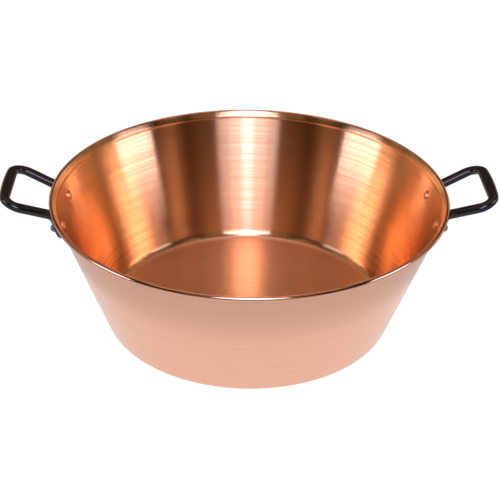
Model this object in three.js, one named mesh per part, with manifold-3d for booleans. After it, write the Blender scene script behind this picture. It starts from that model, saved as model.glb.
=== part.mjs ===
// Copper jam pan: a bowl spun from one copper sheet, its edge rolled over a steel wire,
// with two cast iron loop handles, each held to the wall by two rivets.
// Millimetres, +Z up. The origin is the centre of the underside, and the handles lie on X.

import * as THREE from 'three';
import { mergeVertices } from 'three/addons/utils/BufferGeometryUtils.js';
import Module from 'manifold-3d';

const wasm = await Module();
wasm.setup();

// Bowl
const RIM_DIAMETER = 380;
const PAN_HEIGHT = 131.6;
// Where the outer line of the wall would meet the plane that the pan stands on.
const BASE_DIAMETER = 280.5;
const BASE_CORNER_RADIUS = 6.5;
const SHEET = 1.2;

// Flared lip: its crease inside the bowl, measured from the rim's top and outermost edge
const LIP_HEIGHT = 6.5;
const LIP_REACH = 6.9;

// Rolled edge and the wire inside it
const RIM_WIRE_DIAMETER = 1.4;
const WIRE_CLEARANCE = 0.25;
const CURL_TURN = THREE.MathUtils.degToRad(272);

// Handle loop, measured in its own plane, which rises outwards from the wall
const HANDLE_DROP = 11.8;
const HANDLE_RISE = THREE.MathUtils.degToRad(21.9);
const HANDLE_REACH = 55.6;
const HANDLE_THICKNESS = 6.8;
const HANDLE_EDGE_ROUND = 2.6;
const ARM_WIDTH = 10;
const ARM_SPACING_AT_WALL = 57;
const ARM_SPACING_AT_GRIP = 81;
const GRIP_WIDTH = 11;
const GRIP_BOW = 1.8;
const GRIP_BOW_RADIUS = 300;
const LOOP_INNER_RADIUS = 7;
const LOOP_OUTER_RADIUS = 19;

// Lug at the foot of each arm, and the hollow curve between the lug and the arm
const LUG_WIDTH = 23;
const LUG_THICKNESS = 7;
const LUG_EDGE_ROUND = 2;
const LUG_SHOULDER_HEIGHT = 3;
const LUG_SHOULDER_RADIUS = 8;
const LUG_TOP_HEIGHT = 11;
const LUG_TOP_RADIUS = 3;
const KNEE_RADIUS = 8;
const KNEE_WIDTH = 5;

// Rivets
const RIVET_DROP = 20.8;
const RIVET_SPACING = 60;
const RIVET_SHANK_DIAMETER = 5;
const RIVET_INNER_HEAD_DIAMETER = 9;
const RIVET_INNER_HEAD_HEIGHT = 1.5;
const RIVET_OUTER_HEAD_DIAMETER = 7.2;
const RIVET_OUTER_HEAD_SIDE = 1.4;
const RIVET_OUTER_HEAD_DOME = 2.4;

// Clearances between the separate pieces, and how far a cut runs past what it cuts
const SEAT_GAP = 0.3;
const BORE_CLEARANCE = 0.25;
const CUT_OVERRUN = 2;

// Steps round each kind of curve
const BOWL_STEPS = 96;
const CORNER_STEPS = 5;
const CURL_STEPS = 9;
const WIRE_STEPS = 6;
const RIVET_STEPS = 20;
const DOME_STEPS = 4;
const OUTLINE_STEPS = 5;
const EDGE_STEPS = 3;

const Z_AXIS = new THREE.Vector3(0, 0, 1);

// Sheet geometry

// A direction in the half plane of radius and height, at an angle from the vertical,
// and the normal on its right, which points out of the bowl.
function alongFromVertical(angle) {
	return new THREE.Vector2(Math.sin(angle), Math.cos(angle));
}

function outwardNormal(angle) {
	return new THREE.Vector2(Math.cos(angle), -Math.sin(angle));
}

const rimRadius = RIM_DIAMETER / 2;
const baseRadius = BASE_DIAMETER / 2;
const wireRadius = RIM_WIRE_DIAMETER / 2;
const curlInnerRadius = wireRadius + WIRE_CLEARANCE;
const curlOuterRadius = curlInnerRadius + SHEET;
const curlCentre = new THREE.Vector2(rimRadius - curlOuterRadius, PAN_HEIGHT - curlOuterRadius);
const innerCrease = new THREE.Vector2(rimRadius - LIP_REACH, PAN_HEIGHT - LIP_HEIGHT);

// The wall's lean from the vertical: its outer line starts at the base diameter
// and runs one sheet outside the inner crease.
function wallLean() {
	const span = innerCrease.clone().sub(new THREE.Vector2(baseRadius, 0));
	return Math.atan2(span.x, span.y) + Math.asin(SHEET / span.length());
}

// The lip's lean: its upper face runs from the inner crease and touches the curl's outside.
function lipLean() {
	const span = curlCentre.clone().sub(innerCrease);
	return Math.atan2(span.x, span.y) - Math.asin(curlOuterRadius / span.length());
}

const wallAngle = wallLean();
const lipAngle = lipLean();
const wallUp = alongFromVertical(wallAngle);
const wallOut = outwardNormal(wallAngle);

// Radius of the wall's outer face at a height above the base.
function wallRadiusAt(height) {
	return baseRadius + height * Math.tan(wallAngle);
}

// Outer side of the crease, one sheet away from both the wall's and the lip's inner faces.
function outerCrease() {
	const lipOut = outwardNormal(lipAngle);
	const bisector = wallOut.clone().add(lipOut);
	return innerCrease.clone().addScaledVector(bisector, SHEET / (1 + wallOut.dot(lipOut)));
}

function arcPoints(centre, radius, from, to, steps) {
	const points = [];
	for (let i = 0; i <= steps; i++) {
		const angle = THREE.MathUtils.lerp(from, to, i / steps);
		points.push(new THREE.Vector2(Math.cos(angle), Math.sin(angle)).multiplyScalar(radius).add(centre));
	}
	return points;
}

// The bent corner between floor and wall, as an arc that starts flat and ends along the wall.
function baseCorner(radius) {
	const inset = BASE_CORNER_RADIUS * (1 - Math.sin(wallAngle)) / Math.cos(wallAngle);
	const centre = new THREE.Vector2(baseRadius - inset, BASE_CORNER_RADIUS);
	return arcPoints(centre, radius, -Math.PI / 2, -wallAngle, CORNER_STEPS);
}

// The rolled edge, from its start on the lip to its open end under the lip.
function curl(radius) {
	const start = Math.PI - lipAngle;
	return arcPoints(curlCentre, radius, start, start - CURL_TURN, CURL_STEPS);
}

// Solids

// Turns a closed geometry into a solid that can be joined and cut.
function toSolid(geometry) {
	const bare = geometry.clone();
	bare.deleteAttribute('normal');
	bare.deleteAttribute('uv');
	const merged = mergeVertices(bare);
	const corners = merged.index.array;
	const kept = [];
	for (let i = 0; i < corners.length; i += 3) {
		const [a, b, c] = corners.slice(i, i + 3);
		if (a !== b && b !== c && c !== a) kept.push(a, b, c);
	}
	return new wasm.Manifold(new wasm.Mesh({
		numProp: 3,
		vertProperties: new Float32Array(merged.attributes.position.array),
		triVerts: new Uint32Array(kept),
	}));
}

function toGeometry(solid) {
	const mesh = solid.getMesh();
	const geometry = new THREE.BufferGeometry();
	geometry.setAttribute('position', new THREE.BufferAttribute(mesh.vertProperties, mesh.numProp));
	geometry.setIndex(new THREE.BufferAttribute(mesh.triVerts, 1));
	const faceted = geometry.toNonIndexed();
	faceted.computeVertexNormals();
	return faceted;
}

// Turns a profile of radius and height about the Z axis.
function revolve(profile, steps) {
	return new THREE.LatheGeometry(profile, steps).rotateX(Math.PI / 2);
}

// Closed outline through corners given as [x, y, radius], each rounded by an arc.
function roundedOutline(corners) {
	const shape = new THREE.Shape();
	corners.forEach(([x, y, radius], i) => {
		const corner = new THREE.Vector2(x, y);
		const before = corners[(i + corners.length - 1) % corners.length];
		const after = corners[(i + 1) % corners.length];
		const back = new THREE.Vector2(before[0], before[1]).sub(corner).normalize();
		const ahead = new THREE.Vector2(after[0], after[1]).sub(corner).normalize();
		const halfAngle = Math.acos(THREE.MathUtils.clamp(back.dot(ahead), -1, 1)) / 2;
		const start = corner.clone().addScaledVector(back, radius / Math.tan(halfAngle));
		if (i === 0) shape.moveTo(start.x, start.y);
		else shape.lineTo(start.x, start.y);
		if (radius === 0) return;
		const bisector = back.clone().add(ahead).normalize();
		const centre = corner.clone().addScaledVector(bisector, radius / Math.sin(halfAngle));
		const end = corner.clone().addScaledVector(ahead, radius / Math.tan(halfAngle));
		const turnsLeft = back.cross(ahead) < 0;
		shape.absarc(
			centre.x, centre.y, radius,
			Math.atan2(start.y - centre.y, start.x - centre.x),
			Math.atan2(end.y - centre.y, end.x - centre.x),
			!turnsLeft,
		);
	});
	shape.closePath();
	return shape;
}

// A plate of the outline, with rounded edges, between two heights along Z.
function roundedPlate(outline, low, high, edgeRound) {
	const plate = new THREE.ExtrudeGeometry(outline, {
		depth: high - low - 2 * edgeRound,
		curveSegments: OUTLINE_STEPS,
		bevelThickness: edgeRound,
		bevelSize: edgeRound,
		bevelOffset: -edgeRound,
		bevelSegments: EDGE_STEPS,
	});
	return plate.translate(0, 0, low + edgeRound);
}

// Bowl, rim wire and the space that the handles keep clear of

function bowlProfile() {
	return [
		new THREE.Vector2(0, 0),
		...baseCorner(BASE_CORNER_RADIUS),
		outerCrease(),
		...curl(curlInnerRadius),
		...curl(curlOuterRadius).reverse(),
		innerCrease,
		...baseCorner(BASE_CORNER_RADIUS - SHEET).reverse(),
		new THREE.Vector2(0, SHEET),
	];
}

function rimWireProfile() {
	const ring = arcPoints(curlCentre, wireRadius, 0, 2 * Math.PI, WIRE_STEPS);
	ring[WIRE_STEPS] = ring[0].clone();
	return ring;
}

// The wall's outer face and the rolled edge, moved out by the seat gap, filled to the axis.
function bowlEnvelope() {
	const wallFoot = new THREE.Vector2(baseRadius, 0).addScaledVector(wallOut, SEAT_GAP);
	const crease = outerCrease().addScaledVector(wallOut, SEAT_GAP);
	const edgeRadius = rimRadius + SEAT_GAP;
	const edgeBottom = PAN_HEIGHT - 2 * curlOuterRadius - SEAT_GAP;
	const top = PAN_HEIGHT + CUT_OVERRUN;
	return toSolid(revolve([
		new THREE.Vector2(0, wallFoot.y),
		wallFoot,
		crease,
		new THREE.Vector2(edgeRadius, edgeBottom),
		new THREE.Vector2(edgeRadius, top),
		new THREE.Vector2(0, top),
	], BOWL_STEPS));
}

// Rivets

const rivetHeight = PAN_HEIGHT - RIVET_DROP;
const rivetAzimuth = Math.asin(RIVET_SPACING / 2 / wallRadiusAt(rivetHeight));

// The frame of a rivet on the +X handle: X runs round the wall, Y up it and Z out of it,
// from the point where the rivet's axis leaves the wall's outer face.
function rivetFrame(side) {
	const azimuth = side * rivetAzimuth;
	const radial = new THREE.Vector3(Math.cos(azimuth), Math.sin(azimuth), 0);
	const out = radial.clone().multiplyScalar(wallOut.x).addScaledVector(Z_AXIS, wallOut.y);
	const up = radial.clone().multiplyScalar(wallUp.x).addScaledVector(Z_AXIS, wallUp.y);
	const round = up.clone().cross(out);
	const origin = radial.clone().multiplyScalar(wallRadiusAt(rivetHeight));
	origin.z = rivetHeight;
	return new THREE.Matrix4().makeBasis(round, up, out).setPosition(origin);
}

// A domed head's profile points, from its rim to its crown on the axis.
function domeProfile(radius, seat, height) {
	const sphere = (radius * radius + height * height) / (2 * Math.abs(height));
	const centre = new THREE.Vector2(0, seat + height - Math.sign(height) * sphere);
	const rim = Math.atan2(seat - centre.y, radius);
	return arcPoints(centre, sphere, rim, Math.sign(height) * Math.PI / 2, DOME_STEPS);
}

function rivetGeometry() {
	const shank = RIVET_SHANK_DIAMETER / 2;
	const innerSeat = -SHEET - SEAT_GAP;
	const outerSeat = LUG_THICKNESS + SEAT_GAP;
	const outerHead = RIVET_OUTER_HEAD_DIAMETER / 2;
	const domeSeat = outerSeat + RIVET_OUTER_HEAD_SIDE;
	return revolve([
		...domeProfile(RIVET_INNER_HEAD_DIAMETER / 2, innerSeat, -RIVET_INNER_HEAD_HEIGHT).reverse(),
		new THREE.Vector2(shank, innerSeat),
		new THREE.Vector2(shank, outerSeat),
		new THREE.Vector2(outerHead, outerSeat),
		...domeProfile(outerHead, domeSeat, RIVET_OUTER_HEAD_DOME),
	], RIVET_STEPS);
}

// The hole for a rivet, through the lug and the wall.
function rivetBore(side) {
	const radius = RIVET_SHANK_DIAMETER / 2 + BORE_CLEARANCE;
	const low = -SHEET - CUT_OVERRUN;
	const high = LUG_THICKNESS + CUT_OVERRUN;
	const bore = new THREE.CylinderGeometry(radius, radius, high - low, RIVET_STEPS);
	bore.rotateX(Math.PI / 2).translate(0, 0, (low + high) / 2);
	return toSolid(bore.applyMatrix4(rivetFrame(side)));
}

// Handle

const handleRootHeight = PAN_HEIGHT - HANDLE_DROP;
const handleRootRadius = wallRadiusAt(handleRootHeight);
const gripCentre = HANDLE_REACH - GRIP_WIDTH / 2;
const armSplay = Math.atan2((ARM_SPACING_AT_GRIP - ARM_SPACING_AT_WALL) / 2, gripCentre);

// Half the spacing of the arms' centre lines at a distance out along the loop's plane.
function armOffsetAt(reach) {
	return ARM_SPACING_AT_WALL / 2 + reach * Math.tan(armSplay);
}

// The loop's outline in its plane: X out from the wall, Y round it. The arms start inside
// the wall, where they are cut off, and the grip's outer edge is bowed.
function loopOutline() {
	const halfArm = ARM_WIDTH / 2 / Math.cos(armSplay);
	const start = -LUG_THICKNESS;
	const inner = HANDLE_REACH - GRIP_WIDTH;
	const outer = HANDLE_REACH - GRIP_BOW;
	return roundedOutline([
		[start, -armOffsetAt(start) - halfArm, 0],
		[outer, -armOffsetAt(outer) - halfArm, LOOP_OUTER_RADIUS],
		[HANDLE_REACH, 0, GRIP_BOW_RADIUS],
		[outer, armOffsetAt(outer) + halfArm, LOOP_OUTER_RADIUS],
		[start, armOffsetAt(start) + halfArm, 0],
		[start, armOffsetAt(start) - halfArm, 0],
		[inner, armOffsetAt(inner) - halfArm, LOOP_INNER_RADIUS],
		[inner, -armOffsetAt(inner) + halfArm, LOOP_INNER_RADIUS],
		[start, -armOffsetAt(start) + halfArm, 0],
	]);
}

function loopSolid() {
	const half = HANDLE_THICKNESS / 2;
	const loop = roundedPlate(loopOutline(), -half, half, HANDLE_EDGE_ROUND);
	loop.rotateY(-HANDLE_RISE).translate(handleRootRadius, 0, handleRootHeight);
	return toSolid(loop);
}

// The lug lies against the wall: round below the rivet, and drawn in to the arm above it.
function lugSolid(side) {
	const half = LUG_WIDTH / 2;
	const neck = ARM_WIDTH / 2;
	const outline = roundedOutline([
		[-half, -half, half],
		[half, -half, half],
		[half, LUG_SHOULDER_HEIGHT, LUG_SHOULDER_RADIUS],
		[neck, LUG_TOP_HEIGHT, LUG_TOP_RADIUS],
		[-neck, LUG_TOP_HEIGHT, LUG_TOP_RADIUS],
		[-half, LUG_SHOULDER_HEIGHT, LUG_SHOULDER_RADIUS],
	]);
	const plate = roundedPlate(outline, -SHEET - LUG_EDGE_ROUND, LUG_THICKNESS, LUG_EDGE_ROUND);
	return toSolid(plate.applyMatrix4(rivetFrame(side)));
}

// The knee fills the corner between the lug's face and the arm's underside with a hollow curve.
// Its outline lies in the upright plane through the arm: X along the arm, Y up.
function kneeSolid(side) {
	const slope = Math.atan(Math.tan(HANDLE_RISE) * Math.cos(armSplay));
	const armAlong = new THREE.Vector2(Math.cos(slope), Math.sin(slope));
	const armUnder = new THREE.Vector2(Math.sin(slope), -Math.cos(slope));
	const turn = wallUp.angleTo(armAlong);
	const faceStart = wallOut.clone().multiplyScalar(LUG_THICKNESS);
	const underStart = armUnder.clone().multiplyScalar(HANDLE_THICKNESS / 2);
	const between = underStart.clone().sub(faceStart);
	const alongFace = between.cross(armAlong) / wallUp.cross(armAlong);
	const corner = faceStart.clone().addScaledVector(wallUp, alongFace);
	const tangent = KNEE_RADIUS * Math.tan(turn / 2);
	const onLug = corner.clone().addScaledVector(wallUp, -tangent);
	const centre = onLug.clone().addScaledVector(wallOut, KNEE_RADIUS);
	const outline = new THREE.Shape();
	outline.lineTo(onLug.x, onLug.y);
	outline.absarc(centre.x, centre.y, KNEE_RADIUS, Math.PI - wallAngle, slope + Math.PI / 2, true);
	outline.closePath();
	const half = KNEE_WIDTH / 2;
	const knee = roundedPlate(outline, -half, half, 0);
	const offset = armOffsetAt(0);
	const rootRadius = Math.sqrt(handleRootRadius ** 2 - offset ** 2);
	const rootHeight = handleRootHeight - (handleRootRadius - rootRadius) * Math.tan(HANDLE_RISE);
	const along = new THREE.Vector3(Math.cos(armSplay), side * Math.sin(armSplay), 0);
	const across = along.clone().cross(Z_AXIS);
	const place = new THREE.Matrix4().makeBasis(along, Z_AXIS, across);
	place.setPosition(rootRadius, side * offset, rootHeight);
	return toSolid(knee.applyMatrix4(place));
}

function handleGeometry() {
	let handle = loopSolid();
	for (const side of [-1, 1]) {
		handle = handle.add(lugSolid(side)).add(kneeSolid(side));
	}
	handle = handle.subtract(bowlEnvelope());
	for (const side of [-1, 1]) {
		handle = handle.subtract(rivetBore(side));
	}
	return toGeometry(handle);
}

function bowlGeometry() {
	let bowl = toSolid(revolve(bowlProfile(), BOWL_STEPS));
	for (const side of [-1, 1]) {
		const bore = rivetBore(side);
		bowl = bowl.subtract(bore).subtract(bore.rotate([0, 0, 180]));
	}
	return toGeometry(bowl);
}

// Assembly

const copper = { color: 0xc98a6b, roughness: 0.3, metalness: 1 };
const rivetCopper = { color: 0xb57a5c, roughness: 0.35, metalness: 1 };
const blackIron = { color: 0x141414, roughness: 0.25, metalness: 0.2 };
const steel = { color: 0x8d8f92, roughness: 0.4, metalness: 1 };

function namedMesh(name, geometry, finish) {
	const mesh = new THREE.Mesh(geometry, new THREE.MeshStandardMaterial(finish));
	mesh.name = name;
	return mesh;
}

// One handle and its two rivets, turned about Z to its side of the pan.
function handleGroup(label, turn, edgeNames) {
	const group = new THREE.Group();
	group.rotation.z = turn;
	group.add(namedMesh(`handle_${label}`, handleGeometry(), blackIron));
	for (const [edge, side] of edgeNames) {
		const rivet = namedMesh(`rivet_${label}_${edge}`, rivetGeometry(), rivetCopper);
		rivet.applyMatrix4(rivetFrame(side));
		group.add(rivet);
	}
	return group;
}

const pan = new THREE.Group();
pan.add(namedMesh('pan_body', bowlGeometry(), copper));
pan.add(namedMesh('rim_wire', revolve(rimWireProfile(), BOWL_STEPS), steel));
pan.add(handleGroup('right', 0, [['front', -1], ['rear', 1]]));
pan.add(handleGroup('left', Math.PI, [['front', 1], ['rear', -1]]));

export default pan;
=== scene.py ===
"""Copper jam pan: fine meshes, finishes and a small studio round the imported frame.

Metres, +Z up. The origin is the centre of the pan's underside, and the handles lie on X.
"""

import logging
import math
from dataclasses import dataclass, field
from enum import Enum
from typing import Sequence

import bmesh
import bpy
import numpy as np
from mathutils import Matrix, Quaternion, Vector

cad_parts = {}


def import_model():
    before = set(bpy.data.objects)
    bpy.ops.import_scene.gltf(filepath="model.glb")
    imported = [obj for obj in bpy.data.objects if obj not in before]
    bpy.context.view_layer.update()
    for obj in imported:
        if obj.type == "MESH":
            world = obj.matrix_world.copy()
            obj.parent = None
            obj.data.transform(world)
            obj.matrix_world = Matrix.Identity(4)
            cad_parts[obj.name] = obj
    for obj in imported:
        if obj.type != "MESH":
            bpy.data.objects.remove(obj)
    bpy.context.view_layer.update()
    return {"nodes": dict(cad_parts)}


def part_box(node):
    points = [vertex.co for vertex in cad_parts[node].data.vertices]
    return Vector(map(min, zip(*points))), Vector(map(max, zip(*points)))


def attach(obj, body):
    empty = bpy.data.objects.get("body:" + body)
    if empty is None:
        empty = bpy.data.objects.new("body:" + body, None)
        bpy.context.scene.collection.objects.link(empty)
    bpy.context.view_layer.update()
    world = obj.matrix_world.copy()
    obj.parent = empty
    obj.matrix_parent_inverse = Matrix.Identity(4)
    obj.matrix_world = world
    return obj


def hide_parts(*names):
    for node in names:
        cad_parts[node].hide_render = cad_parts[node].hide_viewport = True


LOG = logging.getLogger("jam_pan")
Colour = tuple[float, float, float]
Span = tuple[float, float]
Faces = list[tuple[int, ...]]
Node = bpy.types.Node
Socket = bpy.types.NodeSocket


class Side(Enum):
    """Side of the pan that a handle is on, as the sign of its X."""

    RIGHT = 1
    LEFT = -1

    @property
    def label(self) -> str:
        """Word used in the names of this side's pieces."""
        return self.name.lower()


class Edge(Enum):
    """End of a handle, as the sign of its Y."""

    FRONT = -1
    REAR = 1

    @property
    def label(self) -> str:
        """Word used in the names of this end's pieces."""
        return self.name.lower()


# Shader nodes


class Nodes:
    """Adds and joins nodes in one shader tree."""

    def __init__(self, tree: bpy.types.NodeTree) -> None:
        """Starts on the node tree of a material, world or group."""
        self.tree = tree

    @classmethod
    def of(cls, owner: bpy.types.Material | bpy.types.World) -> "Nodes":
        """Starts on the emptied tree of a material or world.

        Args:
            owner: The material or world.

        Returns:
            Its nodes.
        """
        owner.use_nodes = True
        owner.node_tree.nodes.clear()
        return cls(owner.node_tree)

    def add(
        self, kind: str, values: dict[str | int, object] | None = None, **settings: object
    ) -> Node:
        """Adds a node.

        Args:
            kind: Blender's node type.
            values: Input's name or number, to a value or to an output socket to link from.
            **settings: Node properties to set.

        Returns:
            The new node.
        """
        node = self.tree.nodes.new(kind)
        for key, setting in settings.items():
            setattr(node, key, setting)
        self.fill(node, values or {})
        return node

    def fill(self, node: Node, values: dict[str | int, object]) -> None:
        """Feeds several inputs of a node, each given by its name or number."""
        for key, value in values.items():
            self.feed(node.inputs[key], value)

    def feed(self, socket: Socket, value: object) -> None:
        """Links an output socket to an input, or sets the input's own value.

        Args:
            socket: The input socket.
            value: An output socket, or a plain value.
        """
        if isinstance(value, bpy.types.NodeSocket):
            self.tree.links.new(value, socket)
        elif isinstance(value, tuple) and len(value) == 3 and socket.type == "RGBA":
            socket.default_value = (*value, 1.0)
        else:
            socket.default_value = value

    def place(self) -> Socket:
        """Adds the object's own coordinates."""
        return self.add("ShaderNodeTexCoord").outputs["Object"]

    def math(self, operation: str, *values: object) -> Socket:
        """Adds a Math node with its inputs in order, and gives its output."""
        return self.add("ShaderNodeMath", dict(enumerate(values)), operation=operation).outputs[0]

    def vector(self, operation: str, *values: object) -> Node:
        """Adds a Vector Math node with its inputs in order."""
        return self.add("ShaderNodeVectorMath", dict(enumerate(values)), operation=operation)

    def mix(self, factor: object, first: object, second: object) -> Socket:
        """Mixes two colours, where the factor is the share of the second."""
        # Inputs 6 and 7 and output 2 are the node's colour sockets
        sockets = {0: factor, 6: first, 7: second}
        return self.add("ShaderNodeMix", sockets, data_type="RGBA").outputs[2]

    def remap(self, value: object, source: Span, target: Span) -> Socket:
        """Maps one range to another, clamped."""
        return self.add("ShaderNodeMapRange", dict(enumerate((value, *source, *target)))).outputs[0]

    def noise(
        self, vector: object, scale: object, detail: float, roughness: float = 0.5
    ) -> Socket:
        """Adds a Noise texture and gives its output, which keeps near 0.5."""
        values = {"Vector": vector, "Scale": scale, "Detail": detail, "Roughness": roughness}
        return self.add("ShaderNodeTexNoise", values).outputs[0]

    def bump(self, height: object, depth: float) -> Socket:
        """Gives the normal bent by a height, where 1 stands for the depth in metres."""
        return self.add("ShaderNodeBump", {"Height": height, "Distance": depth}).outputs[0]


class GroupKit:
    """Builds each shared effect once as a node group, and places it in materials."""

    def __init__(self) -> None:
        """Starts with no group built."""
        self.trees: dict[str, bpy.types.NodeTree] = {}

    def place(self, nodes: Nodes, name: str, values: dict[str, object]) -> Node:
        """Places a group in a material.

        Args:
            nodes: The material's nodes.
            name: Name of the group, which is also the name of the method that builds it.
            values: Values for the group's inputs.

        Returns:
            The group's node.
        """
        if name not in self.trees:
            self.trees[name] = getattr(self, name)()
        node = nodes.add("ShaderNodeGroup", node_tree=self.trees[name])
        nodes.fill(node, values)
        return node

    @staticmethod
    def start(
        name: str, inputs: dict[str, float], outputs: Sequence[str]
    ) -> tuple[Nodes, Node, Node]:
        """Makes an empty group with its sockets.

        Args:
            name: The group's name.
            inputs: Name of each number input, with its default.
            outputs: Name of each number output.

        Returns:
            The group's nodes, its input node and its output node.
        """
        tree = bpy.data.node_groups.new(name, "ShaderNodeTree")
        for key, default in inputs.items():
            socket = tree.interface.new_socket(key, in_out="INPUT", socket_type="NodeSocketFloat")
            socket.default_value = default
        for key in outputs:
            tree.interface.new_socket(key, in_out="OUTPUT", socket_type="NodeSocketFloat")
        nodes = Nodes(tree)
        return nodes, nodes.add("NodeGroupInput"), nodes.add("NodeGroupOutput")

    def spun_grain(self) -> bpy.types.NodeTree:
        """Builds the fine lines that run round a spun and brushed sheet.

        Returns:
            A group whose Height and Streak change across the lines and slowly along them.
        """
        nodes, given, made = self.start(
            "spun_grain",
            {"Line Spacing": 0.001, "Line Turns": 0.2, "Band Spacing": 0.01, "Streak Turns": 1.2},
            ("Height", "Streak"),
        )
        place = nodes.place()
        level = (1.0, 1.0, 0.0)
        flat = nodes.vector("MULTIPLY", place, level).outputs[0]
        radius = nodes.vector("LENGTH", flat).outputs["Value"]
        turn = nodes.vector("NORMALIZE", flat).outputs[0]
        around = nodes.add("ShaderNodeSeparateXYZ", {0: turn})
        height = nodes.add("ShaderNodeSeparateXYZ", {0: place}).outputs["Z"]
        along = nodes.math("ADD", radius, height)
        kinds = (
            ("Line Spacing", "Line Turns", "Height", 3.0),
            ("Band Spacing", "Streak Turns", "Streak", 2.0),
        )
        for spacing, turns, output, detail in kinds:
            across = nodes.math("DIVIDE", along, given.outputs[spacing])
            eastward = nodes.math("MULTIPLY", around.outputs["X"], given.outputs[turns])
            northward = nodes.math("MULTIPLY", around.outputs["Y"], given.outputs[turns])
            vector = nodes.add("ShaderNodeCombineXYZ", {"X": eastward, "Y": northward, "Z": across})
            nodes.feed(made.inputs[output], nodes.noise(vector.outputs[0], 1.0, detail))
        return nodes.tree

    def tone_clouds(self) -> bpy.types.NodeTree:
        """Builds the slow change of tone over a handled metal surface.

        Returns:
            A group whose Mask drifts between 0 and 1.
        """
        inputs = {"Cloud Size": 0.05, "Contrast": 1.0}
        nodes, given, made = self.start("tone_clouds", inputs, ("Mask",))
        scale = nodes.math("DIVIDE", 1.0, given.outputs["Cloud Size"])
        noise = nodes.noise(nodes.place(), scale, detail=4.0, roughness=0.55)
        middle = 0.5
        centred = nodes.math("SUBTRACT", noise, middle)
        spread = nodes.math("MULTIPLY_ADD", centred, given.outputs["Contrast"], middle)
        mask = nodes.math("MINIMUM", nodes.math("MAXIMUM", spread, 0.0), 1.0)
        nodes.feed(made.inputs["Mask"], mask)
        return nodes.tree

    def hammered_skin(self) -> bpy.types.NodeTree:
        """Builds the uneven skin of a casting or of a hammered head.

        Returns:
            A group with the skin's Height and a Mask of its low places.
        """
        nodes, given, made = self.start(
            "hammered_skin",
            {"Wave Size": 0.008, "Pit Size": 0.0007, "Pit Share": 0.25},
            ("Height", "Mask"),
        )
        place = nodes.place()
        heights = []
        for size in ("Wave Size", "Pit Size"):
            scale = nodes.math("DIVIDE", 1.0, given.outputs[size])
            heights.append(nodes.noise(place, scale, detail=2.0))
        pits = nodes.math("MULTIPLY", heights[1], given.outputs["Pit Share"])
        nodes.feed(made.inputs["Height"], nodes.math("ADD", heights[0], pits))
        low_to_high = (0.3, 0.7)
        nodes.feed(made.inputs["Mask"], nodes.remap(heights[0], low_to_high, (0.0, 1.0)))
        return nodes.tree


# Finishes


@dataclass(frozen=True)
class Finish:
    """What every finish has: a name, and the tools that build its nodes."""

    name: str

    def begin(self) -> tuple[bpy.types.Material, Nodes, Node]:
        """Makes the material with an empty Principled shader.

        Returns:
            The material, its nodes and its Principled node.
        """
        material = bpy.data.materials.new(self.name)
        nodes = Nodes.of(material)
        shader = nodes.add("ShaderNodeBsdfPrincipled")
        nodes.add("ShaderNodeOutputMaterial", {"Surface": shader.outputs[0]})
        return material, nodes, shader


@dataclass(frozen=True)
class SpunCopper(Finish):
    """Copper sheet, spun to shape and brushed round the pan."""

    light: Colour
    deep: Colour
    roughness: Span
    anisotropy: float
    grain_turn: float = 0.25
    line_depth: float = 1.5e-6
    line_spacing: float = 0.0021
    line_range: Span = (0.42, 0.58)
    band_spacing: float = 0.0045
    band_range: Span = (0.38, 0.62)
    streak_turns: float = 0.8
    cloud_size: float = 0.07
    cloud_contrast: float = 2.2
    shares: tuple[float, float, float] = (0.75, 0.1, 0.15)
    tone_range: Span = (0.3, 0.7)

    def build(self, kit: GroupKit) -> bpy.types.Material:
        """Builds the material.

        Args:
            kit: The shared node groups.

        Returns:
            The material.
        """
        material, nodes, shader = self.begin()
        spacings = {"Line Spacing": self.line_spacing, "Band Spacing": self.band_spacing}
        grain = kit.place(nodes, "spun_grain", {**spacings, "Streak Turns": self.streak_turns})
        cloud_values = {"Cloud Size": self.cloud_size, "Contrast": self.cloud_contrast}
        clouds = kit.place(nodes, "tone_clouds", cloud_values)
        tones = (
            nodes.remap(grain.outputs["Height"], self.line_range, (0.0, 1.0)),
            nodes.remap(grain.outputs["Streak"], self.band_range, (0.0, 1.0)),
            clouds.outputs["Mask"],
        )
        tone = 0.0
        for share, part in zip(self.shares, tones):
            tone = nodes.math("MULTIPLY_ADD", part, share, tone)
        tangent = nodes.add("ShaderNodeTangent", direction_type="RADIAL", axis="Z")
        finish = {
            "Base Color": nodes.mix(tone, self.light, self.deep),
            "Roughness": nodes.remap(tone, self.tone_range, self.roughness),
            "Metallic": 1.0,
            "Anisotropic": self.anisotropy,
            "Anisotropic Rotation": self.grain_turn,
            "Tangent": tangent.outputs[0],
            "Normal": nodes.bump(grain.outputs["Height"], self.line_depth),
        }
        nodes.fill(shader, finish)
        return material


@dataclass(frozen=True)
class HeadMetal(Finish):
    """A rivet head, struck with a set and left a little uneven."""

    light: Colour
    deep: Colour
    roughness: Span
    dent_depth: float = 0.00006
    dent_size: float = 0.0022
    pits_per_dent: float = 6.0

    def build(self, kit: GroupKit) -> bpy.types.Material:
        """Builds the material.

        Args:
            kit: The shared node groups.

        Returns:
            The material.
        """
        material, nodes, shader = self.begin()
        sizes = {"Wave Size": self.dent_size, "Pit Size": self.dent_size / self.pits_per_dent}
        skin = kit.place(nodes, "hammered_skin", sizes)
        finish = {
            "Base Color": nodes.mix(skin.outputs["Mask"], self.light, self.deep),
            "Roughness": nodes.remap(skin.outputs["Mask"], (0.0, 1.0), self.roughness),
            "Metallic": 1.0,
            "Normal": nodes.bump(skin.outputs["Height"], self.dent_depth),
        }
        nodes.fill(shader, finish)
        return material


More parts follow.
